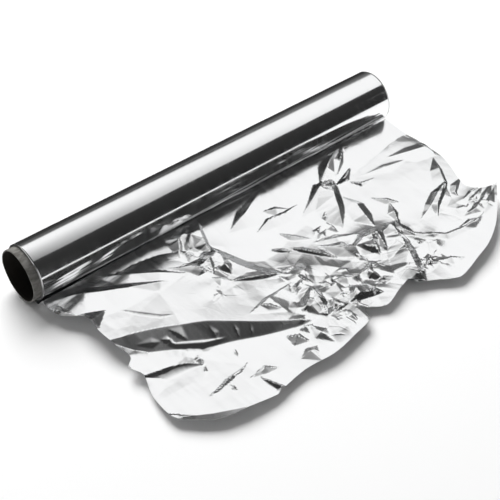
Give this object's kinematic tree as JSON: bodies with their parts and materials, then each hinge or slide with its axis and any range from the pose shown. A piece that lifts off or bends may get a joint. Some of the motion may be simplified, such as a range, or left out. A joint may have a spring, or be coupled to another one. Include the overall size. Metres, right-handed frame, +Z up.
{
  "type": "aluminium foil roll",
  "caption": "Roll of aluminium foil on a cardboard core, lying on its side with a crumpled length of foil pulled out flat in front of it.",
  "frame": {"origin": "on the core's axis, half way along the foil's width", "axes": "+X along the core's axis, +Z up, the pulled-out length of foil lies towards -Y on the table"},
  "size_m": [0.3085, 0.1873, 0.0386],
  "materials": {
    "cardboard": "plain grey-brown wound board, matt",
    "foil": "bright rolled, mirror-like, with sharp creases"
  },
  "bodies": {
    "root": {"cardboard_core": "cardboard", "foil": "foil"}
  },
  "joints": []
}
